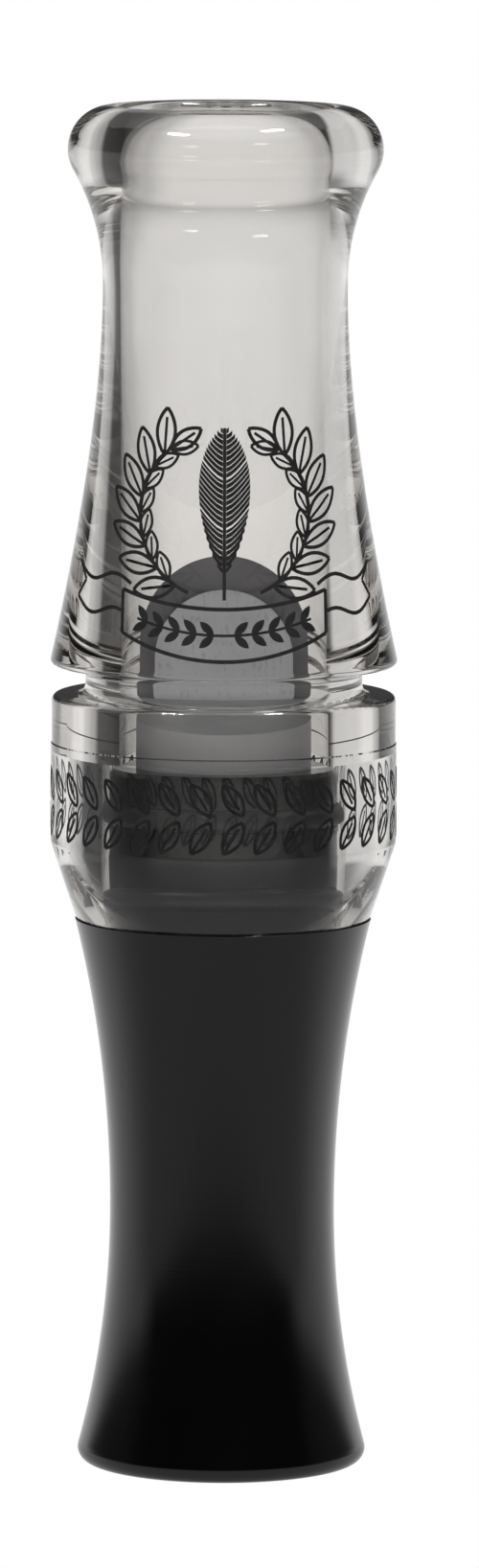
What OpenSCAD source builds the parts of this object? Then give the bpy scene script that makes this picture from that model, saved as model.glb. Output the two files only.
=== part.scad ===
// Short-reed duck call. A clear barrel fits over the tenon of a black insert, and two
// O-rings seal them. The guts sit in the insert: a tone channel, a reed and the wedge
// that clamps it. The call stands on the insert's bell, +Z runs along the bore to the
// mouth, and the reed faces -Y. Heights are measured from the bell's flat end.

/* [Guts] */
// Diameter of the tone channel and wedge together
guts_d = 15.88; // [14:0.02:20]
// Depth that the guts sit in the insert
seat_depth = 18.5; // [14:0.5:24]
// Height of the tone board's tip above the tenon
board_reach = 17.6; // [14:0.1:22]
// How far the tone board falls away from the reed at its tip
board_drop = 1.4; // [0.8:0.1:2]
// Place of the flat table that the reed lies on, in front of the bore's axis
table_front = 0.4; // [0:0.1:1.5]
// Width of the air channel
channel_w = 6.4; // [5:0.1:8]
// Depth of the air channel below the table
channel_depth = 5.4; // [4:0.1:6]
// Distance from the board's tip to the end of the air channel
channel_stop = 5; // [3:0.1:7]
// Angle at which the board's end slopes down to its back
board_slope = 11; // [0:1:20]

/* [Reed] */
// Width of the reed
reed_w = 12.7; // [10:0.1:14]
// Thickness of the reed
reed_t = 0.25; // [0.2:0.05:0.4]
// Distance from the board's tip to the reed's tip
reed_back = 2.9; // [1:0.1:4]
// Height of the wedge's end above the tenon
wedge_reach = 4.6; // [2:0.1:8]
// How far the wedge's end slopes back to its outer side
wedge_slope = 1.2; // [0:0.1:2]

/* [Barrel] */
// Length of the barrel, from the insert's shoulder to the mouth
barrel_len = 73.5; // [60:0.5:100]
// Room between the guts and the bore
bore_room = 1.585; // [1:0.005:3]
// Wall at the waist
waist_wall = 1.52; // [1.2:0.02:4]
// Distance from the mouth down to the waist
waist_drop = 16; // [12:0.5:24]
// How far the lip stands out from the waist
lip_flare = 3.19; // [1.5:0.01:5]
// Radius of the lip's rounded bead
lip_bead = 3.9; // [2:0.1:4]
// Rounding of the bore's edge at the mouth
mouth_round = 0.8; // [0.4:0.1:1]
// Share of the skirt's height that stays slim below the waist
skirt_ease = 0.39; // [0.1:0.01:0.8]

/* [Lanyard groove] */
// Wall between the groove's floor and the bore
neck_wall = 3; // [2:0.1:5]
// Depth of the groove
groove_depth = 3.17; // [2:0.01:5]
// Width of the groove
groove_w = 2.7; // [2.4:0.1:6]
// Height of the groove's lower side above the shoulder
groove_rise = 20.3; // [18:0.1:26]
// Rounding of the groove's corners
groove_round = 1; // [0.4:0.1:1.2]
// Rounding of the rims on each side of the groove
rim_round = 0.5; // [0.2:0.1:1]

/* [Band] */
// Height of the band's lower edge above the shoulder
taper_len = 6.9; // [3:0.1:8]
// Height of the band's upper edge above the shoulder
band_top = 15.9; // [12:0.1:17]
// Step from the band to the collar above it
collar_step = 0.12; // [0:0.02:0.5]

/* [Tenon] */
// Length of the tenon
tenon_len = 14; // [11:0.1:17]
// Wall of the tenon round the guts
tenon_wall = 2.36; // [2:0.02:4]
// Room between the tenon and the barrel's socket, which the O-rings fill
tenon_gap = 0.7; // [0.3:0.05:0.8]
// Room above the tenon in the socket
socket_room = 0.7; // [0.3:0.1:2]
// Wall of the barrel at the joint
joint_wall = 2.4; // [1.5:0.1:4]
// Diameter of the O-rings' section
seal_section = 1.85; // [1.5:0.05:2]
// Distance from the shoulder to the lower O-ring
seal_low = 3.6; // [2:0.1:4]
// Distance from the tenon's end to the upper O-ring
seal_high = 4; // [2:0.1:4]

/* [Insert] */
// Length of the insert below its shoulder
insert_len = 50; // [42:0.5:70]
// Diameter of the insert's waist
insert_waist_d = 20.4; // [16:0.2:24]
// Height of the insert's waist
insert_waist_h = 23.5; // [16:0.5:26]
// Diameter of the bell
bell_d = 26.2; // [25:0.1:32]
// Rounding of the bell's edge
bell_round = 1.2; // [0.5:0.1:2]
// Diameter of the throat below the guts
throat_d = 9; // [8:0.1:11]
// Diameter of the exhaust at the bell's end
exhaust_d = 16; // [12:0.5:20]
// Height at which the throat starts to open
exhaust_len = 28; // [20:0.5:30]

/* [Fits] */
// Radial clearance of the guts in their seat
seat_fit = 0.03; // [0.02:0.01:0.08]
// Clearance of the O-rings in the grooves and in the socket
seal_fit = 0.02; // [0.01:0.01:0.05]
// Spare width of an O-ring's groove
groove_spare = 0.3; // [0.2:0.05:0.5]
// Gap between the reed's clamped end and its free blade
blade_gap = 0.05; // [0.02:0.01:0.1]
// Broken edge where the barrel meets the shoulder
edge_break = 0.15; // [0.05:0.05:0.3]

/* [Hidden] */
$fn = 96;

// Radii, from the guts outwards
guts_r = guts_d / 2;
bore_r = guts_r + bore_room;
seat_r = guts_r + seat_fit;
tenon_r = seat_r + tenon_wall;
socket_r = tenon_r + tenon_gap;
joint_r = socket_r + joint_wall;
waist_r = bore_r + waist_wall;
lip_r = waist_r + lip_flare;
neck_r = bore_r + neck_wall;
skirt_r = neck_r + groove_depth;
collar_r = skirt_r - collar_step;
insert_waist_r = insert_waist_d / 2;
seal_r = socket_r - seal_fit - seal_section / 2;
seal_floor_r = seal_r - seal_section / 2 - seal_fit;

// Heights, from the bell upwards
shoulder_z = insert_len;
tenon_top = shoulder_z + tenon_len;
socket_top = tenon_top + socket_room;
seat_z = tenon_top - seat_depth;
groove_low = shoulder_z + groove_rise;
groove_high = groove_low + groove_w;
mouth_z = shoulder_z + barrel_len;
waist_z = mouth_z - waist_drop;
seal_low_z = shoulder_z + seal_low;
seal_high_z = tenon_top - seal_high;

// The guts: the table's plane, the wedge's end, and where the board starts to curve
table_y = -table_front;
wedge_top = tenon_top + wedge_reach;
wedge_inset = 0.5;
butt_inset = 1;
curve_lead = 5;
curve_z = wedge_top - curve_lead;
board_tip = tenon_top + board_reach;
reed_tip = board_tip - reed_back;
tip_chamfer = 0.4;
overcut = 1;

// Points on an arc about [cx, cz], from angle a0 to a1 in n steps
function arc(cx, cz, r, a0, a1, n) =
    [for (i = [0:n]) let (a = a0 + (a1 - a0) * i / n) [cx + r * cos(a), cz + r * sin(a)]];

// Radius of the cove that leaves a waist upright and runs smoothly into a round bead
function cove_radius(waist, bead_x, bead, rise) =
    let (u = waist - bead_x) (u * u + rise * rise - bead * bead) / (2 * (bead - u));

// Angle through which that cove turns
function cove_turn(waist, bead_x, bead, rise) =
    atan2(rise, cove_radius(waist, bead_x, bead, rise) + waist - bead_x);

// Points on the cove from its waist to the bead, upwards or, with way -1, downwards
function cove(waist, waist_at, bead_x, bead, rise, way, n) =
    let (r = cove_radius(waist, bead_x, bead, rise), turn = cove_turn(waist, bead_x, bead, rise))
    [for (i = [0:n]) let (a = turn * i / n) [waist + r * (1 - cos(a)), waist_at + way * r * sin(a)]];

// Points on a curve that leaves p upright and flares to q, slim for a share of the way
function ease(p, q, share, n) =
    let (level = p[1] + share * (q[1] - p[1]))
    [for (i = [0:n]) let (t = i / n)
        [p[0] + (q[0] - p[0]) * t * t, p[1] * pow(1 - t, 2) + 2 * level * t * (1 - t) + q[1] * t * t]];

function reversed(list) = [for (i = [len(list) - 1:-1:0]) list[i]];

// Corners of an O-ring's groove in the tenon, at height z
function seal_groove(z) =
    let (half = (seal_section + groove_spare) / 2)
    [[tenon_r, z - half], [seal_floor_r, z - half], [seal_floor_r, z + half], [tenon_r, z + half]];

// The barrel: taper, band and collar below the lanyard groove, then skirt, waist and lip
module barrel() {
    lip_x = lip_r - lip_bead;
    lip_rise = waist_drop - lip_bead;
    lip_turn = cove_turn(waist_r, lip_x, lip_bead, lip_rise);
    foot = [[joint_r - edge_break, shoulder_z], [joint_r, shoulder_z + edge_break],
        [skirt_r, shoulder_z + taper_len], [skirt_r, shoulder_z + band_top],
        [collar_r, shoulder_z + band_top + collar_step]];
    groove = concat(
        arc(collar_r - rim_round, groove_low - rim_round, rim_round, 0, 90, 5),
        arc(neck_r + groove_round, groove_low + groove_round, groove_round, 270, 180, 8),
        arc(neck_r + groove_round, groove_high - groove_round, groove_round, 180, 90, 8),
        arc(skirt_r - rim_round, groove_high + rim_round, rim_round, -90, 0, 5));
    skirt = reversed(ease([waist_r, waist_z], [skirt_r, groove_high + rim_round], skirt_ease, 16));
    lip = concat(
        cove(waist_r, waist_z, lip_x, lip_bead, lip_rise, 1, 12),
        arc(lip_x, mouth_z - lip_bead, lip_bead, -lip_turn, 90, 12));
    inside = concat(
        arc(bore_r + mouth_round, mouth_z - mouth_round, mouth_round, 90, 180, 5),
        [[bore_r, socket_top], [socket_r, socket_top], [socket_r, shoulder_z]]);
    color("Gainsboro", 0.45) rotate_extrude() polygon(concat(foot, groove, skirt, lip, inside));
}

// The insert: bell, slim waist, shoulder and tenon, bored for the guts and flared at the exhaust
module insert() {
    bell_r = bell_d / 2;
    bell_x = bell_r - bell_round;
    bell_rise = insert_waist_h - bell_round;
    bell_turn = cove_turn(insert_waist_r, bell_x, bell_round, bell_rise);
    neck_rise = shoulder_z - edge_break - insert_waist_h;
    body = concat(
        arc(bell_x, bell_round, bell_round, -90, bell_turn, 6),
        reversed(cove(insert_waist_r, insert_waist_h, bell_x, bell_round, bell_rise, -1, 12)),
        cove(insert_waist_r, insert_waist_h, joint_r, 0, neck_rise, 1, 14));
    tenon = concat(
        [[joint_r - edge_break, shoulder_z], [tenon_r, shoulder_z]],
        seal_groove(seal_low_z),
        seal_groove(seal_high_z),
        [[tenon_r, tenon_top - tip_chamfer], [tenon_r - tip_chamfer, tenon_top]]);
    inside = concat(
        [[seat_r, tenon_top], [seat_r, seat_z], [throat_d / 2, seat_z]],
        ease([throat_d / 2, exhaust_len], [exhaust_d / 2, 0], 0.5, 12));
    color([0.11, 0.11, 0.12]) rotate_extrude() polygon(concat(body, tenon, inside));
}

module o_ring(z) {
    color([0.05, 0.05, 0.05]) rotate_extrude() translate([seal_r, z]) circle(d = seal_section);
}

module o_ring_upper() {
    o_ring(seal_high_z);
}

module o_ring_lower() {
    o_ring(seal_low_z);
}

// A side view, drawn as [y, z] points, carried right across the guts along X
module across(points) {
    rotate([90, 0, 90]) linear_extrude(guts_d + 2 * overcut, center = true) polygon(points);
}

// A strip with a round upper end, drawn in the XZ plane and carried from y0 to y1
module strip(w, low, high, y0, y1) {
    translate([0, y1, 0]) rotate([90, 0, 0]) linear_extrude(y1 - y0) intersection() {
        translate([-w / 2, low]) square([w, high - low]);
        union() {
            translate([-w / 2, low]) square([w, max(high - w / 2 - low, 0)]);
            translate([0, high - w / 2]) circle(d = w);
        }
    }
}

// The tone channel: half of a round bar, with a table and a board that curves away from the reed
module tone_channel() {
    reach = board_tip - curve_z;
    curve_r = (reach * reach + board_drop * board_drop) / (2 * board_drop);
    curve_turn = asin(reach / curve_r);
    back = guts_r + overcut;
    board = concat(
        [[back, board_tip], [back, seat_z], [table_y, seat_z]],
        [for (i = [0:10]) let (a = curve_turn * i / 10)
            [table_y + curve_r * (1 - cos(a)), curve_z + curve_r * sin(a)]]);
    channel_floor = table_y + channel_depth;
    color([0.13, 0.13, 0.14]) difference() {
        intersection() {
            translate([0, 0, seat_z]) cylinder(r = guts_r, h = board_tip - seat_z);
            across(board);
            translate([0, table_y + board_drop, board_tip]) rotate([-board_slope, 0, 0])
                strip(guts_d, seat_z - board_tip - guts_d, 0, -guts_d, 2 * guts_d);
        }
        intersection() {
            strip(channel_w, seat_z - overcut, board_tip - channel_stop, table_y - overcut, channel_floor);
            translate([0, 0, seat_z - overcut]) linear_extrude(board_tip - seat_z) {
                translate([-channel_w / 2, table_y - overcut])
                    square([channel_w, channel_depth + overcut - channel_w / 2]);
                translate([0, channel_floor - channel_w / 2]) circle(d = channel_w);
            }
        }
    }
}

// The wedge: the other half of the bar, which clamps the reed on the table
module wedge() {
    face_y = table_y - reed_t;
    front = -guts_r - overcut;
    color([0.5, 0.51, 0.52]) intersection() {
        translate([0, 0, seat_z]) cylinder(r = guts_r, h = wedge_top - seat_z);
        across([[face_y, seat_z + wedge_inset], [face_y, wedge_top],
            [front, wedge_top - wedge_slope], [front, seat_z + wedge_inset]]);
    }
}

// The reed's clamped end, under the wedge
module reed_butt() {
    color([0.8, 0.82, 0.82]) translate([-reed_w / 2, table_y - reed_t, seat_z + butt_inset])
        cube([reed_w, reed_t, wedge_top - seat_z - butt_inset]);
}

// The reed's free blade, which vibrates over the board
module reed() {
    color([0.8, 0.82, 0.82]) strip(reed_w, wedge_top + blade_gap, reed_tip, table_y - reed_t, table_y);
}

barrel();
insert();
o_ring_upper();
o_ring_lower();
tone_channel();
wedge();
reed_butt();
reed();
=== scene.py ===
"""A duck call on a pale table: a clear smoky barrel over a black insert, with its guts inside."""

import math

import bmesh
import bpy
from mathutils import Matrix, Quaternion, Vector


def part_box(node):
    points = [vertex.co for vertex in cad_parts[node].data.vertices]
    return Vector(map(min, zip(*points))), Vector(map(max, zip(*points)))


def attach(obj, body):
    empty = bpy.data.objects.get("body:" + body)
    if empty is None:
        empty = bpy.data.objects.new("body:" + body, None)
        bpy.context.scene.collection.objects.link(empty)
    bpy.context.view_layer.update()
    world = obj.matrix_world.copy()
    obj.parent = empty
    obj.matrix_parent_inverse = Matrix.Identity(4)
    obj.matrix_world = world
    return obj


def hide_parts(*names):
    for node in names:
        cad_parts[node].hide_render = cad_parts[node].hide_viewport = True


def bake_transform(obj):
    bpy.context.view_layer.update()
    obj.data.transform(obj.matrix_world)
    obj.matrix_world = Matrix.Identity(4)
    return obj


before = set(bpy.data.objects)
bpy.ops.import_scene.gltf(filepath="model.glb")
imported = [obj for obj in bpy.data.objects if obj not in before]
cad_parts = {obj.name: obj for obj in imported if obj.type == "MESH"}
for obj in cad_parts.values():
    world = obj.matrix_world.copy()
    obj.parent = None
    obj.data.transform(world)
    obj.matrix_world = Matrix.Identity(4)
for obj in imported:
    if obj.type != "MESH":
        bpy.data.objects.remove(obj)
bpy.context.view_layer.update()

# The call's own sizes are in millimetres, and MM turns them into metres. The stage, the
# camera and the depths of bump are in metres.
MM = 0.001


def span(node, axis):
    """Lowest and highest coordinate of a CAD node along an axis, in millimetres."""
    low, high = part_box(node)
    return low[axis] / MM, high[axis] / MM


X, Y, Z = 0, 1, 2

# Places and radii that the frame gives
shoulder_z, mouth_z = span("barrel", Z)
skirt_r = span("barrel", X)[1]
tenon_top = span("insert", Z)[1]
joint_r = span("insert", X)[1]
guts_r = span("tone_channel", X)[1]
seat_z = span("tone_channel", Z)[0]
reed_low = span("reed_butt", Z)[0]
reed_tip = span("reed", Z)[1]
reed_half = span("reed", X)[1]
reed_front, table_y = span("reed", Y)
ring_r = span("o_ring_upper", X)[1]

# Sizes of the barrel
bore_r = 9.525
socket_r = 11.03
tenon_gap = 0.7
socket_top = tenon_top + tenon_gap
waist_r = 11.045
waist_drop = 16
lip_r = 14.235
lip_bead = 3.9
mouth_round = 0.8
skirt_ease = 0.39
neck_r = 12.525
groove_rise = 20.3
groove_w = 2.7
groove_low = shoulder_z + groove_rise
groove_high = groove_low + groove_w
groove_round = 1
rim_round = 0.5
collar_step = 0.12
collar_r = skirt_r - collar_step
taper_len = 6.9
band_top = 15.9
band_low = shoulder_z + taper_len
band_high = shoulder_z + band_top
edge_break = 0.15
polish = 0.3

# The decoration is a thin layer of ink, half sunk in the surface. The band stands back a
# little, so that its ink is no wider than the skirt.
ink_proud = 0.02
ink_depth = 0.04
band_inset = 0.03
band_r = skirt_r - band_inset

# Sizes of the insert
tenon_r = 10.33
seal_section = 1.85
seal_fit = 0.02
seal_floor_r = ring_r - seal_section - seal_fit
groove_spare = 0.3
groove_half = (seal_section + groove_spare) / 2
insert_waist_r = 10.2
insert_waist_z = 23.5
bell_r = 13.1
bell_round = 1.2
seat_fit = 0.03
seat_r = guts_r + seat_fit
throat_r = 4.5
exhaust_r = 8
exhaust_z = 28
exhaust_ease = 0.5
chamfer = 0.4


# Outlines, as (radius, height) points ------------------------------------------------------

def arc(cx, cz, r, a0, a1, n):
    """Points on an arc about (cx, cz), from angle a0 to a1 in n steps."""
    angles = [math.radians(a0 + (a1 - a0) * i / n) for i in range(n + 1)]
    return [(cx + r * math.cos(a), cz + r * math.sin(a)) for a in angles]


def cove_turn(waist, bead_x, bead, rise):
    """Radius and angle of the cove that leaves a waist upright and runs smoothly into a bead."""
    u = waist - bead_x
    radius = (u * u + rise * rise - bead * bead) / (2 * (bead - u))
    return radius, math.degrees(math.atan2(rise, radius + u))


def cove(waist, waist_at, bead_x, bead, rise, way, n):
    """Points on that cove from its waist to the bead, upwards or, with way -1, downwards."""
    radius, turn = cove_turn(waist, bead_x, bead, rise)
    angles = [math.radians(turn * i / n) for i in range(n + 1)]
    return [(waist + radius * (1 - math.cos(a)), waist_at + way * radius * math.sin(a))
            for a in angles]


def ease(p, q, share, n):
    """Points on a curve that leaves p upright and flares to q, slim for a share of the way."""
    level = p[1] + share * (q[1] - p[1])
    steps = [i / n for i in range(n + 1)]
    return [(p[0] + (q[0] - p[0]) * t * t,
             p[1] * (1 - t) ** 2 + 2 * level * t * (1 - t) + q[1] * t * t) for t in steps]


def softened(corner, before, after, size, n=4):
    """A polished corner: a small curve that cuts it off by size on both sides."""
    c, b, a = Vector(corner), Vector(before), Vector(after)
    start = c + (b - c).normalized() * size
    end = c + (a - c).normalized() * size
    steps = [i / n for i in range(n + 1)]
    return [tuple(start * (1 - t) ** 2 + c * 2 * t * (1 - t) + end * t * t) for t in steps]


def skirt_curve():
    """The barrel's outside from its waist down to the rim of the lanyard groove."""
    waist = (waist_r, mouth_z - waist_drop)
    rim = (skirt_r, groove_high + rim_round)
    return ease(waist, rim, skirt_ease, 160)


def barrel_outline():
    """The barrel's section: taper, band, collar, lanyard groove, skirt, waist, lip and bore."""
    lip_x = lip_r - lip_bead
    lip_rise = waist_drop - lip_bead
    waist_z = mouth_z - waist_drop
    turn = cove_turn(waist_r, lip_x, lip_bead, lip_rise)[1]
    heel = (joint_r, shoulder_z + edge_break)
    band_foot = (band_r, band_low)
    band_head = (band_r, band_high)
    foot = [(joint_r - edge_break, shoulder_z), heel]
    foot += softened(band_foot, heel, band_head, polish)
    foot += [band_head, (collar_r, band_high + collar_step)]
    groove = arc(collar_r - rim_round, groove_low - rim_round, rim_round, 0, 90, 8)
    groove += arc(neck_r + groove_round, groove_low + groove_round, groove_round, 270, 180, 12)
    groove += arc(neck_r + groove_round, groove_high - groove_round, groove_round, 180, 90, 12)
    groove += arc(skirt_r - rim_round, groove_high + rim_round, rim_round, -90, 0, 8)
    skirt = skirt_curve()[::-1]
    lip = cove(waist_r, waist_z, lip_x, lip_bead, lip_rise, 1, 40)
    lip += arc(lip_x, mouth_z - lip_bead, lip_bead, -turn, 90, 32)
    inside = arc(bore_r + mouth_round, mouth_z - mouth_round, mouth_round, 90, 180, 10)
    inside += [(bore_r, socket_top), (socket_r, socket_top), (socket_r, shoulder_z)]
    return foot + groove + skirt[1:] + lip[1:] + inside


def insert_outline():
    """The insert's section: bell, slim waist, shoulder, tenon with its ring grooves, and bore."""
    bell_x = bell_r - bell_round
    bell_rise = insert_waist_z - bell_round
    turn = cove_turn(insert_waist_r, bell_x, bell_round, bell_rise)[1]
    neck_rise = shoulder_z - edge_break - insert_waist_z
    body = arc(bell_x, bell_round, bell_round, -90, turn, 12)
    body += cove(insert_waist_r, insert_waist_z, bell_x, bell_round, bell_rise, -1, 40)[::-1][1:]
    body += cove(insert_waist_r, insert_waist_z, joint_r, 0, neck_rise, 1, 40)[1:]
    tenon = [(joint_r - edge_break, shoulder_z), (tenon_r, shoulder_z)]
    for ring in ("o_ring_lower", "o_ring_upper"):
        middle = sum(span(ring, Z)) / 2
        tenon += [(tenon_r, middle - groove_half), (seal_floor_r, middle - groove_half),
                  (seal_floor_r, middle + groove_half), (tenon_r, middle + groove_half)]
    tenon += [(tenon_r, tenon_top - chamfer), (tenon_r - chamfer, tenon_top)]
    inside = [(seat_r, tenon_top), (seat_r, seat_z), (throat_r, seat_z)]
    inside += ease((throat_r, exhaust_z), (exhaust_r, 0), exhaust_ease, 30)
    return body + tenon + inside


# Meshes ------------------------------------------------------------------------------------

def mesh_object(name, points, faces, sharp=30):
    """A smooth-shaded mesh from points in millimetres, with edges sharper than an angle kept."""
    mesh = bpy.data.meshes.new(name)
    mesh.from_pydata([tuple(c * MM for c in p) for p in points], [], faces)
    mesh.validate()
    mesh.polygons.foreach_set("use_smooth", [True] * len(mesh.polygons))
    mesh.set_sharp_from_angle(angle=math.radians(sharp))
    piece = bpy.data.objects.new(name, mesh)
    bpy.context.scene.collection.objects.link(piece)
    return piece


def revolve(name, outline, turns=320):
    """A ring turned from a closed outline of (radius, height) points that runs anticlockwise."""
    rows = len(outline)
    points = []
    for t in range(turns):
        a = 2 * math.pi * t / turns
        points += [(r * math.cos(a), r * math.sin(a), z) for r, z in outline]
    faces = []
    for t in range(turns):
        here, there = t * rows, (t + 1) % turns * rows
        for i in range(rows):
            j = (i + 1) % rows
            faces.append((here + i, there + i, there + j, here + j))
    return mesh_object(name, points, faces)


# Materials ---------------------------------------------------------------------------------

def new_material(name):
    material = bpy.data.materials.new(name)
    material.use_nodes = True
    tree = material.node_tree
    return material, tree, tree.nodes["Principled BSDF"]


def node(tree, kind, **values):
    """A shader node, with its settings and its sockets' plain values set by name."""
    made = tree.nodes.new(kind)
    for key, value in values.items():
        if hasattr(made, key):
            setattr(made, key, value)
        else:
            made.inputs[key.replace("_", " ")].default_value = value
    return made


def noise(tree, scale, detail, stretch=(1, 1, 1)):
    """Noise in object space; scale is in features per metre, and stretch squeezes each axis."""
    place = tree.nodes.new("ShaderNodeTexCoord")
    squeeze = node(tree, "ShaderNodeMapping")
    squeeze.inputs["Scale"].default_value = stretch
    made = node(tree, "ShaderNodeTexNoise", Scale=scale, Detail=detail)
    tree.links.new(place.outputs["Object"], squeeze.inputs["Vector"])
    tree.links.new(squeeze.outputs["Vector"], made.inputs["Vector"])
    return made.outputs["Fac"]


def ramp(tree, factor, stops):
    """A colour ramp through (place, colour) stops."""
    made = tree.nodes.new("ShaderNodeValToRGB")
    elements = made.color_ramp.elements
    while len(elements) < len(stops):
        elements.new(0.5)
    for element, (place, colour) in zip(elements, stops):
        element.position = place
        element.color = (*colour, 1)
    tree.links.new(factor, made.inputs["Fac"])
    return made.outputs["Color"]


def levels(tree, factor, low, high):
    """A factor of 0 to 1 spread over low to high."""
    made = node(tree, "ShaderNodeMapRange", To_Min=low, To_Max=high)
    tree.links.new(factor, made.inputs["Value"])
    return made.outputs["Result"]


def bump(tree, height, strength, distance, shader):
    """Relief on the surface, at most distance metres deep."""
    made = node(tree, "ShaderNodeBump", Strength=strength, Distance=distance)
    tree.links.new(height, made.inputs["Height"])
    tree.links.new(made.outputs["Normal"], shader.inputs["Normal"])


def clear_acrylic():
    """Polished clear acrylic with a faint smoke tint and the last traces of lathe polish."""
    material, tree, shader = new_material("clear_acrylic")
    shader.inputs["Transmission Weight"].default_value = 1
    shader.inputs["IOR"].default_value = 1.49
    shader.inputs["Roughness"].default_value = 0.0
    stops = [(0.3, (0.865, 0.855, 0.842)), (0.7, (0.885, 0.875, 0.862))]
    tint = ramp(tree, noise(tree, 90, 2), stops)
    tree.links.new(tint, shader.inputs["Base Color"])
    bump(tree, noise(tree, 80, 1), 0.02, 0.0001, shader)
    smoke = node(tree, "ShaderNodeVolumeAbsorption", Density=14)
    smoke.inputs["Color"].default_value = (0.62, 0.55, 0.47, 1)
    tree.links.new(smoke.outputs["Volume"], tree.nodes["Material Output"].inputs["Volume"])
    return material


def black_acrylic():
    """Polished black acrylic: fine turning lines, handling haze and a few dull rubs."""
    material, tree, shader = new_material("black_acrylic")
    shader.inputs["IOR"].default_value = 1.45
    haze = noise(tree, 160, 5, (1, 1, 0.6))
    lines = noise(tree, 700, 3, (0.15, 0.15, 6))
    colour = ramp(tree, haze, [(0.3, (0.001, 0.001, 0.0011)), (0.75, (0.0016, 0.0016, 0.0017))])
    tree.links.new(colour, shader.inputs["Base Color"])
    tree.links.new(levels(tree, haze, 0.10, 0.2), shader.inputs["Roughness"])
    bump(tree, lines, 0.05, 0.00003, shader)
    return material


def seal_rubber():
    """Greased black rubber with a fine moulded grain."""
    material, tree, shader = new_material("seal_rubber")
    grain = noise(tree, 4000, 4)
    colour = ramp(tree, grain, [(0.3, (0.008, 0.008, 0.008)), (0.7, (0.017, 0.017, 0.018))])
    tree.links.new(colour, shader.inputs["Base Color"])
    tree.links.new(levels(tree, grain, 0.35, 0.55), shader.inputs["Roughness"])
    bump(tree, grain, 0.25, 0.00004, shader)
    return material


def black_ink():
    """Black printing ink, slightly uneven in depth."""
    material, tree, shader = new_material("black_ink")
    patch = noise(tree, 1500, 4)
    colour = ramp(tree, patch, [(0.3, (0.004, 0.004, 0.004)), (0.75, (0.016, 0.016, 0.017))])
    tree.links.new(colour, shader.inputs["Base Color"])
    shader.inputs["Specular IOR Level"].default_value = 0.2
    tree.links.new(levels(tree, patch, 0.5, 0.8), shader.inputs["Roughness"])
    bump(tree, patch, 0.2, 0.00002, shader)
    return material


def moulded(name, dark, pale, rough):
    """Moulded plastic: a slight marbling of its colour and a fine spark-eroded grain."""
    material, tree, shader = new_material(name)
    marble = noise(tree, 220, 4)
    grain = noise(tree, 2500, 3)
    tree.links.new(ramp(tree, marble, [(0.3, dark), (0.72, pale)]), shader.inputs["Base Color"])
    tree.links.new(levels(tree, grain, rough - 0.07, rough + 0.1), shader.inputs["Roughness"])
    bump(tree, grain, 0.12, 0.00003, shader)
    return material


def reed_film():
    """Frosted polyester film, with a faint grain along the reed."""
    material, tree, shader = new_material("reed_film")
    shader.inputs["Transmission Weight"].default_value = 0.1
    shader.inputs["IOR"].default_value = 1.5
    grain = noise(tree, 3000, 2, (1, 1, 0.3))
    colour = ramp(tree, grain, [(0.2, (0.76, 0.785, 0.825)), (0.8, (0.80, 0.825, 0.865))])
    tree.links.new(colour, shader.inputs["Base Color"])
    tree.links.new(levels(tree, grain, 0.22, 0.36), shader.inputs["Roughness"])
    bump(tree, grain, 0.05, 0.00002, shader)
    return material


# Pieces ------------------------------------------------------------------------------------

def dress(piece, material, body, slot, *replaced):
    """Gives a piece its material and its body, and hides the CAD nodes that it stands for. The slot
    is not used.
    """
    piece.data.materials.clear()
    piece.data.materials.append(material)
    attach(piece, body)
    if replaced:
        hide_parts(*replaced)


def add_barrel():
    piece = revolve("barrel_clear", barrel_outline())
    dress(piece, clear_acrylic(), "barrel", "clear_acrylic", "barrel")


def add_insert():
    piece = revolve("insert_black", insert_outline())
    dress(piece, black_acrylic(), "insert", "black_acrylic", "insert")


def add_seals():
    rubber = seal_rubber()
    section = seal_section / 2
    for name in ("o_ring_upper", "o_ring_lower"):
        middle = sum(span(name, Z)) / 2
        outline = arc(ring_r - section, middle, section, 0, 360, 40)[:-1]
        dress(revolve(name + "_rubber", outline, 160), rubber, "seals", "seal_rubber", name)


def add_reed():
    """One strip of film, clamped under the wedge."""
    # Cross rows up the straight part, then round the tip
    straight = reed_tip - reed_half
    steps = 30
    sides = [(reed_half, reed_low + (straight - reed_low) * i / steps) for i in range(steps + 1)]
    sides += arc(0, straight, reed_half, 0, 88, steps)[1:]
    rows = len(sides) - 1
    points, faces = [], []
    for half, z in sides:
        points += [(-half, reed_front, z), (half, reed_front, z),
                   (half, table_y, z), (-half, table_y, z)]
    for i in range(rows):
        a, b = 4 * i, 4 * (i + 1)
        for k in range(4):
            m = (k + 1) % 4
            faces.append((a + k, a + m, b + m, b + k))
    faces += [(3, 2, 1, 0), tuple(4 * rows + k for k in range(4))]
    piece = mesh_object("reed_strip", points, faces)
    piece.data.materials.append(reed_film())
    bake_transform(piece)
    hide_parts("reed_butt", "reed")


def dress_guts():
    """The tone channel and the wedge keep their CAD shapes, with softened edges."""
    guts_black = moulded("guts_black", (0.17, 0.171, 0.176), (0.22, 0.221, 0.227), 0.5)
    wedge_plastic = moulded("wedge_plastic", (0.52, 0.53, 0.545), (0.58, 0.59, 0.605), 0.45)
    looks = {"tone_channel": guts_black, "wedge": wedge_plastic}
    for name, material in looks.items():
        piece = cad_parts[name]
        piece.data.materials.clear()
        piece.data.materials.append(material)
        weld = piece.modifiers.new("weld", "WELD")
        weld.merge_threshold = 0.001 * MM
        edge = piece.modifiers.new("edge", "BEVEL")
        edge.width = 0.12 * MM
        edge.segments = 2
        edge.limit_method = "ANGLE"
        edge.angle_limit = math.radians(40)


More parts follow.
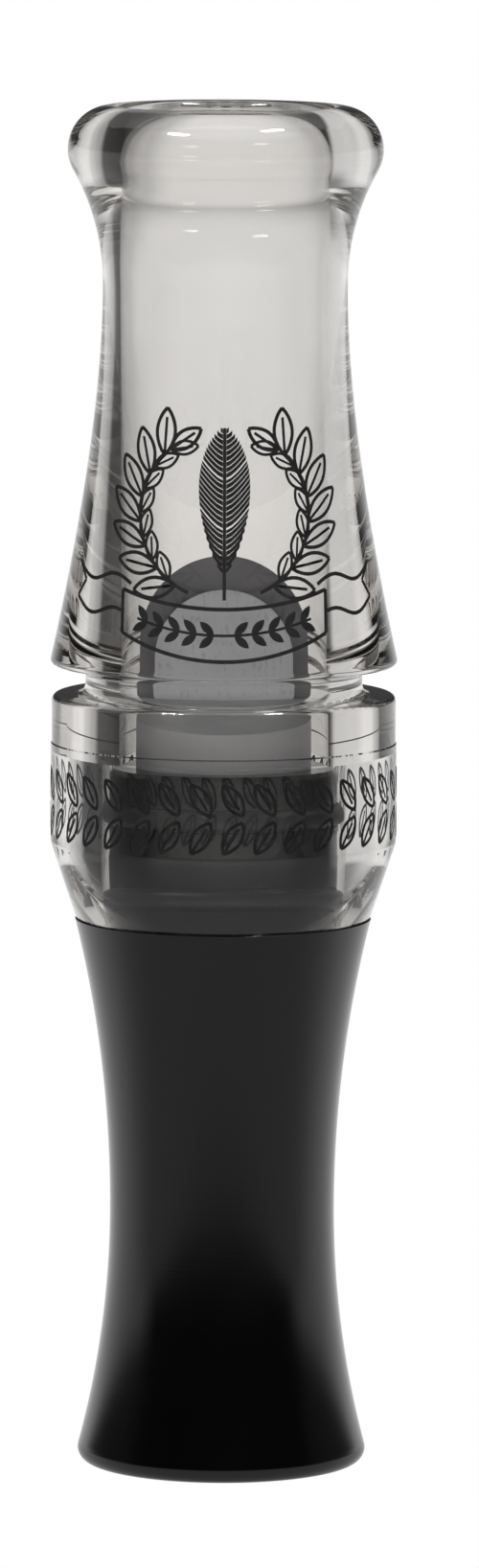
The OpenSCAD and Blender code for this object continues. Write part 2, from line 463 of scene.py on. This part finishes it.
# Decoration --------------------------------------------------------------------------------
# Flat drawings of (along, height) points, which are wrapped round the barrel from its front.
# Each is a list of strips, and a strip is two lines of points with ink between them.

def stroke(path, width):
    """A line of ink along a path."""
    left, right = [], []
    for i, (x, z) in enumerate(path):
        x0, z0 = path[max(i - 1, 0)]
        x1, z1 = path[min(i + 1, len(path) - 1)]
        reach = math.hypot(x1 - x0, z1 - z0)
        dx, dz = (z0 - z1) / reach * width / 2, (x1 - x0) / reach * width / 2
        left.append((x + dx, z + dz))
        right.append((x - dx, z - dz))
    return left, right


def leaf_sides(foot, turn, length, width, n=10):
    """The two sides of a pointed leaf that leaves its foot at an angle."""
    ux, uz = math.cos(math.radians(turn)), math.sin(math.radians(turn))
    sides = []
    for half in (width / 2, -width / 2):
        steps = [i / n for i in range(n + 1)]
        bulge = [half * math.sin(math.pi * t) ** 0.8 for t in steps]
        sides.append([(foot[0] + ux * length * t - uz * b, foot[1] + uz * length * t + ux * b)
                      for t, b in zip(steps, bulge)])
    return sides


def leaf_outline(foot, turn, length, width, line):
    """A leaf drawn as an outline, with a vein up to near its tip."""
    sides = leaf_sides(foot, turn, length, width)
    ux, uz = math.cos(math.radians(turn)), math.sin(math.radians(turn))
    vein = [(foot[0] + ux * length * t, foot[1] + uz * length * t) for t in (0, 0.4, 0.8)]
    return [stroke(side, line) for side in sides] + [stroke(vein, line * 0.8)]


def feather(foot, tip, width, barbs=26):
    """An upright feather: a shaft, and slanting barbs with clear slits between them."""
    shaft = 0.16
    quill = 0.16 * (tip - foot)
    vane = foot + quill
    strips = [stroke([(0, foot), (0, vane), (0, tip)], 0.3)]
    pitch = (tip - vane) / barbs
    splits = (7, 16)
    for side in (-1, 1):
        for i in range(barbs):
            t = (i + 0.5) / barbs
            half = width / 2 * math.sin(math.pi * t ** 0.8) ** 0.7 + 0.1
            lift = 0.9 * half * (1 - 0.6 * t ** 6)
            low = vane + pitch * i
            slit = 0.4 if i in splits else 0.16
            line = [(side * (shaft + (half - shaft) * u), low + lift * u ** 1.4)
                    for u in (0, 0.25, 0.5, 0.75, 1)]
            strips.append((line, [(x, z + pitch * (1 - slit)) for x, z in line]))
    return strips


def wreath(middle, across, up, line):
    """Two leafy branches that meet below the feather."""
    strips = []
    for side in (-1, 1):
        def along(turn):
            a = math.radians(turn)
            return side * across * math.cos(a), middle + up * math.sin(a)
        strips.append(stroke([along(a) for a in range(-66, 53, 6)], line))
        for turn in range(-56, 50, 17):
            heading = 90 + side * turn
            strips += leaf_outline(along(turn), heading - side * 42, 4.2, 1.8, line)
            strips += leaf_outline(along(turn + 6), heading + side * 36, 2.6, 1.2, line * 0.8)
        strips += leaf_outline(along(52), 90 + side * 56, 3.4, 1.5, line)
    return strips


def ribbon(low, high, half, line):
    """A curved ribbon with wavy tails, and a small leafy spray on it."""
    low_sag, high_sag = 2.3, 1.5

    def edge(x, base, sag):
        return base + sag * (x / half) ** 2

    def middle(x):
        return (edge(x, low, low_sag) + edge(x, high, high_sag)) / 2

    xs = [half * (i / 12 - 1) for i in range(25)]
    bottom = [(x, edge(x, low, low_sag)) for x in xs]
    top = [(x, edge(x, high, high_sag)) for x in xs]
    strips = [stroke(bottom, line), stroke(top, line)]
    strips += [stroke([bottom[0], top[0]], line), stroke([bottom[-1], top[-1]], line)]
    tail_low, tail_high = low + 3.6, low + 6.6
    tail_len, tucked, notch_depth = 7.6, 0.9, 1.4

    def lift(t):
        return 1.1 * t + 0.55 * math.sin(7 * t)

    for side in (-1, 1):
        # The lower edge of a tail comes out from behind the ribbon's end, a little later
        for base, hidden in ((tail_low, 2), (tail_high, 0)):
            wave = [(side * (half - tucked + tail_len * t), base + lift(t))
                    for t in (i / 14 for i in range(hidden, 15))]
            strips.append(stroke(wave, line))
        end = side * (half - tucked + tail_len)
        notch = [(end, tail_low + lift(1)),
                 (end - side * notch_depth, (tail_low + tail_high) / 2 + lift(1)),
                 (end, tail_high + lift(1))]
        strips += [stroke(notch[:2], line), stroke(notch[1:], line)]
        for i in range(5):
            x = 0.9 + 1.55 * i
            slope = math.degrees(math.atan2((low_sag + high_sag) * x, half ** 2))
            for lean in (-42, 42):
                turn = slope + lean if side > 0 else 180 - slope - lean
                strips.append(tuple(leaf_sides((side * x, middle(x)), turn, 1.75, 0.75, 6)))
    spray = [(x, middle(x)) for x in xs[2:-2]]
    return strips + [stroke(spray, line * 0.7)]


def band_leaves(low, high, count, line):
    """Two rows of slanting leaves right round the band, which lean towards each other."""
    lean, width, parting = 58, 1.5, 0.3
    pitch = 2 * math.pi * band_r / count
    tall = (high - low) / 2 - parting
    length = tall / math.sin(math.radians(lean))
    strips = []
    for i in range(count):
        x = pitch * (i - count / 2)
        strips += leaf_outline((x, low), lean, length, width, line)
        strips += leaf_outline((x, high), -lean, length, width, line)
    return strips


def ink(name, strips, radius_at):
    """Wraps a drawing round the barrel as thin closed pieces of ink."""
    mesh = bmesh.new()
    for left, right in strips:
        layers = []
        for depth in (ink_proud - ink_depth, ink_proud):
            rows = []
            for edges in zip(left, right):
                row = []
                for x, z in edges:
                    r = radius_at(z)
                    turn = x / r
                    place = ((r + depth) * math.sin(turn), -(r + depth) * math.cos(turn), z)
                    row.append(mesh.verts.new([c * MM for c in place]))
                rows.append(row)
            layers.append(rows)
        inner, outer = layers
        for i in range(len(left) - 1):
            for rows in layers:
                mesh.faces.new((rows[i][0], rows[i][1], rows[i + 1][1], rows[i + 1][0]))
            for k in (0, 1):
                mesh.faces.new((inner[i][k], outer[i][k], outer[i + 1][k], inner[i + 1][k]))
        for i in (0, -1):
            mesh.faces.new((inner[i][0], inner[i][1], outer[i][1], outer[i][0]))
    bmesh.ops.recalc_face_normals(mesh, faces=mesh.faces)
    data = bpy.data.meshes.new(name)
    mesh.to_mesh(data)
    mesh.free()
    piece = bpy.data.objects.new(name, data)
    bpy.context.scene.collection.objects.link(piece)
    return piece


def add_decoration():
    """A feather in a wreath over a plain ribbon on the skirt, and rows of leaves on the band."""
    black = black_ink()
    curve = skirt_curve()

    def skirt_radius(z):
        for (r0, z0), (r1, z1) in zip(curve, curve[1:]):
            if z1 <= z <= z0:
                return r0 + (r1 - r0) * (z0 - z) / (z0 - z1)
        return skirt_r

    # Heights on the skirt are from the groove's upper wall
    rim = groove_high
    emblem = feather(foot=rim + 7.2, tip=rim + 22.4, width=4.4)
    emblem += wreath(middle=rim + 14.6, across=8, up=7.4, line=0.32)
    emblem += ribbon(low=rim + 1.8, high=rim + 6.4, half=9.8, line=0.34)
    dress(ink("emblem_ink", emblem, skirt_radius), black, "barrel", None)
    leaves = band_leaves(low=band_low + 0.7, high=band_high - 2.1, count=34, line=0.3)
    dress(ink("band_ink", leaves, lambda z: band_r), black, "barrel", None)


# Stage -------------------------------------------------------------------------------------

def smooth_step(tree, value, start, end, low, high):
    """A value that runs smoothly from low to high as another runs from start to end."""
    made = node(tree, "ShaderNodeMapRange", interpolation_type="SMOOTHSTEP",
                From_Min=start, From_Max=end, To_Min=low, To_Max=high)
    tree.links.new(value, made.inputs["Value"])
    return made.outputs["Result"]


def calculate(tree, operation, a, b=None):
    """A sum, product or other function of one or two values."""
    made = node(tree, "ShaderNodeMath", operation=operation)
    tree.links.new(a, made.inputs[0])
    if b is not None:
        tree.links.new(b, made.inputs[1])
    return made.outputs[0]


def white_to_camera(tree, shader, surface):
    """The camera sees plain white; reflections and the clear barrel see the studio."""
    path = tree.nodes.new("ShaderNodeLightPath")
    white = tree.nodes.new(surface)
    white.inputs["Color"].default_value = (1, 1, 1, 1)
    pick = tree.nodes.new("ShaderNodeMixShader")
    tree.links.new(path.outputs["Is Camera Ray"], pick.inputs["Fac"])
    tree.links.new(shader.outputs[0], pick.inputs[1])
    tree.links.new(white.outputs[0], pick.inputs[2])
    return pick.outputs[0]


def blend_values(tree, share, a, b):
    """A value that is a where the share is 0 and b where it is 1."""
    mixed = tree.nodes.new("ShaderNodeMix")
    for value, socket in ((share, "Factor"), (a, "A"), (b, "B")):
        tree.links.new(value, mixed.inputs[socket])
    return mixed.outputs["Result"]


def in_mirrors(tree, seen_through, mirrored):
    """The studio as it lights the call and shows through it, and a plainer one in reflections."""
    path = tree.nodes.new("ShaderNodeLightPath")
    refracted = path.outputs["Is Transmission Ray"]
    reflected = calculate(tree, "SUBTRACT", path.outputs["Is Glossy Ray"], refracted)
    return blend_values(tree, reflected, seen_through, mirrored)


def round_the_room(tree, place):
    """The room's brightness by direction: white behind, a dark screen to each side, a grey front."""
    split = tree.nodes.new("ShaderNodeSeparateXYZ")
    tree.links.new(place, split.inputs["Vector"])
    turn = calculate(tree, "ARCTAN2", split.outputs["X"], split.outputs["Y"])
    spread = node(tree, "ShaderNodeMapRange", From_Min=-math.pi, From_Max=math.pi)
    tree.links.new(turn, spread.inputs["Value"])
    # Degrees round from straight behind the call, clockwise from above, and the level there
    levels_by_turn = [(-180, 0.7), (-130, 0.5), (-103, 0.06), (-83, 0.03), (-41, 0.01),
                      (-31, 0.4), (-18, 0.65), (-7, 0.97), (9, 0.97), (30, 0.72), (60, 0.66),
                      (69, 0.03), (84, 0.03), (103, 0.1), (130, 0.5), (180, 0.7)]
    made = tree.nodes.new("ShaderNodeValToRGB")
    made.color_ramp.interpolation = "EASE"
    elements = made.color_ramp.elements
    while len(elements) < len(levels_by_turn):
        elements.new(0.5)
    for element, (degrees, level) in zip(elements, levels_by_turn):
        element.position = 0.5 + degrees / 360
        element.color = (level, level, level, 1)
    tree.links.new(spread.outputs["Result"], made.inputs["Fac"])
    return split, calculate(tree, "ABSOLUTE", turn), made.outputs["Color"]


def add_floor(half=0.3):
    """A pale table top, which glows with painted light in the room's pattern and is painted dimmer
    towards its front in reflections.
    """
    mesh = bpy.data.meshes.new("floor")
    corners = [(-half, -half, 0), (half, -half, 0), (half, half, 0), (-half, half, 0)]
    mesh.from_pydata(corners, [], [(0, 1, 2, 3)])
    floor = bpy.data.objects.new("floor", mesh)
    bpy.context.scene.collection.objects.link(floor)
    material, tree, shader = new_material("floor")
    shader.inputs["Base Color"].default_value = (0.05, 0.05, 0.05, 1)
    shader.inputs["Specular IOR Level"].default_value = 0
    shader.inputs["Emission Color"].default_value = (1, 1, 1, 1)
    place = tree.nodes.new("ShaderNodeTexCoord")
    # Painted light: the floor glows by direction round the call at the room's levels, darker towards
    # each side.
    split, _, room = round_the_room(tree, place.outputs["Object"])
    # Painted shade: in reflections the floor's glow is painted dimmer towards its front and brighter
    # behind the call.
    front = smooth_step(tree, split.outputs["Y"], -0.2, -0.09, 0.02, 0.47)
    beside = smooth_step(tree, split.outputs["Y"], -0.05, 0.05, 0, 0.4)
    mirrored = calculate(tree, "ADD", front, beside)
    distance = tree.nodes.new("ShaderNodeVectorMath")
    distance.operation = "LENGTH"
    tree.links.new(place.outputs["Object"], distance.inputs[0])
    # Painted light: a brighter glow painted on the floor close round the call, as it shows through
    # the barrel.
    near = smooth_step(tree, distance.outputs["Value"], 0.11, 0.17, 0.25, 0)
    seen_through = calculate(tree, "MAXIMUM", near, room)
    tree.links.new(in_mirrors(tree, seen_through, mirrored), shader.inputs["Emission Strength"])
    shown = white_to_camera(tree, shader, "ShaderNodeEmission")
    tree.links.new(shown, tree.nodes["Material Output"].inputs["Surface"])
    mesh.materials.append(material)


def add_world():
    """The studio: bright behind the call, and dark in front of it for the black insert."""
    world = bpy.data.worlds.new("studio")
    bpy.context.scene.world = world
    world.use_nodes = True
    tree = world.node_tree
    shader = tree.nodes["Background"]
    place = tree.nodes.new("ShaderNodeTexCoord")
    split, aside, room = round_the_room(tree, place.outputs["Generated"])
    rise = split.outputs["Z"]
    # What shows through the call is dimmer high up, and more so to each side than behind
    upper = smooth_step(tree, rise, 0.1, 0.3, 0, 0.6)
    sideways = smooth_step(tree, aside, math.radians(25), math.radians(55), 0, 1)
    loss = calculate(tree, "MULTIPLY", room, calculate(tree, "MULTIPLY", upper, sideways))
    ceiling = smooth_step(tree, rise, 0.2, 0.6, 1, 0.55)
    seen_through = calculate(tree, "MULTIPLY", ceiling, calculate(tree, "SUBTRACT", room, loss))
    # Reflections show a bright foot to the wall all round, and a bright ceiling in front
    foot = smooth_step(tree, rise, -0.25, 0, 0.5, 0.005)
    ahead = calculate(tree, "MAXIMUM", foot, smooth_step(tree, rise, 0.6, 0.8, 0, 1))
    around = smooth_step(tree, rise, -0.03, 0.06, 0.85, 0.08)
    forwards = smooth_step(tree, aside, math.radians(90), math.radians(115), 0, 1)
    mirrored = blend_values(tree, forwards, around, ahead)
    tree.links.new(in_mirrors(tree, seen_through, mirrored), shader.inputs["Strength"])
    shader.inputs["Color"].default_value = (1, 1, 1, 1)
    shown = white_to_camera(tree, shader, "ShaderNodeBackground")
    tree.links.new(shown, tree.nodes["World Output"].inputs["Surface"])


def add_light(name, place, size, power):
    """A softbox that faces the barrel."""
    data = bpy.data.lights.new(name, "AREA")
    data.shape = "RECTANGLE"
    data.size, data.size_y = size
    data.energy = power
    lamp = bpy.data.objects.new(name, data)
    lamp.location = place
    target = Vector((0, 0, 0.07))
    aim = target - lamp.location
    lamp.rotation_mode = "QUATERNION"
    lamp.rotation_quaternion = aim.to_track_quat("-Z", "Y")
    bpy.context.scene.collection.objects.link(lamp)


def add_camera():
    """A long lens in front of the call and a little above it, with a trace of roll."""
    data = bpy.data.cameras.new("camera")
    data.sensor_width = 36
    data.lens = 237.8
    data.clip_start = 0.01
    camera = bpy.data.objects.new("camera", data)
    camera.location = (0, -0.932, 0.173)
    target = Vector((0.00145, 0, 0.06206))
    aim = target - camera.location
    roll = Quaternion((0, 0, 1), math.radians(0.22))
    camera.rotation_mode = "QUATERNION"
    camera.rotation_quaternion = aim.to_track_quat("-Z", "Y") @ roll
    bpy.context.scene.collection.objects.link(camera)
    bpy.context.scene.camera = camera


def set_rendering():
    """Plain colours, and enough bounces for light that is trapped in the clear barrel."""
    scene = bpy.context.scene
    scene.view_settings.view_transform = "Standard"
    scene.cycles.max_bounces = 24
    scene.cycles.transmission_bounces = 24
    scene.cycles.glossy_bounces = 12
    scene.cycles.transparent_max_bounces = 24
    scene.cycles.blur_glossy = 0.2


add_camera()
add_barrel()
add_insert()
add_seals()
add_reed()
dress_guts()
add_decoration()
add_floor()
add_world()
add_light("softbox_left", (-0.35, -0.3, 0.75), (0.18, 0.07), 6)
add_light("softbox_right", (0.3, -0.15, 0.8), (0.18, 0.07), 6)
set_rendering()
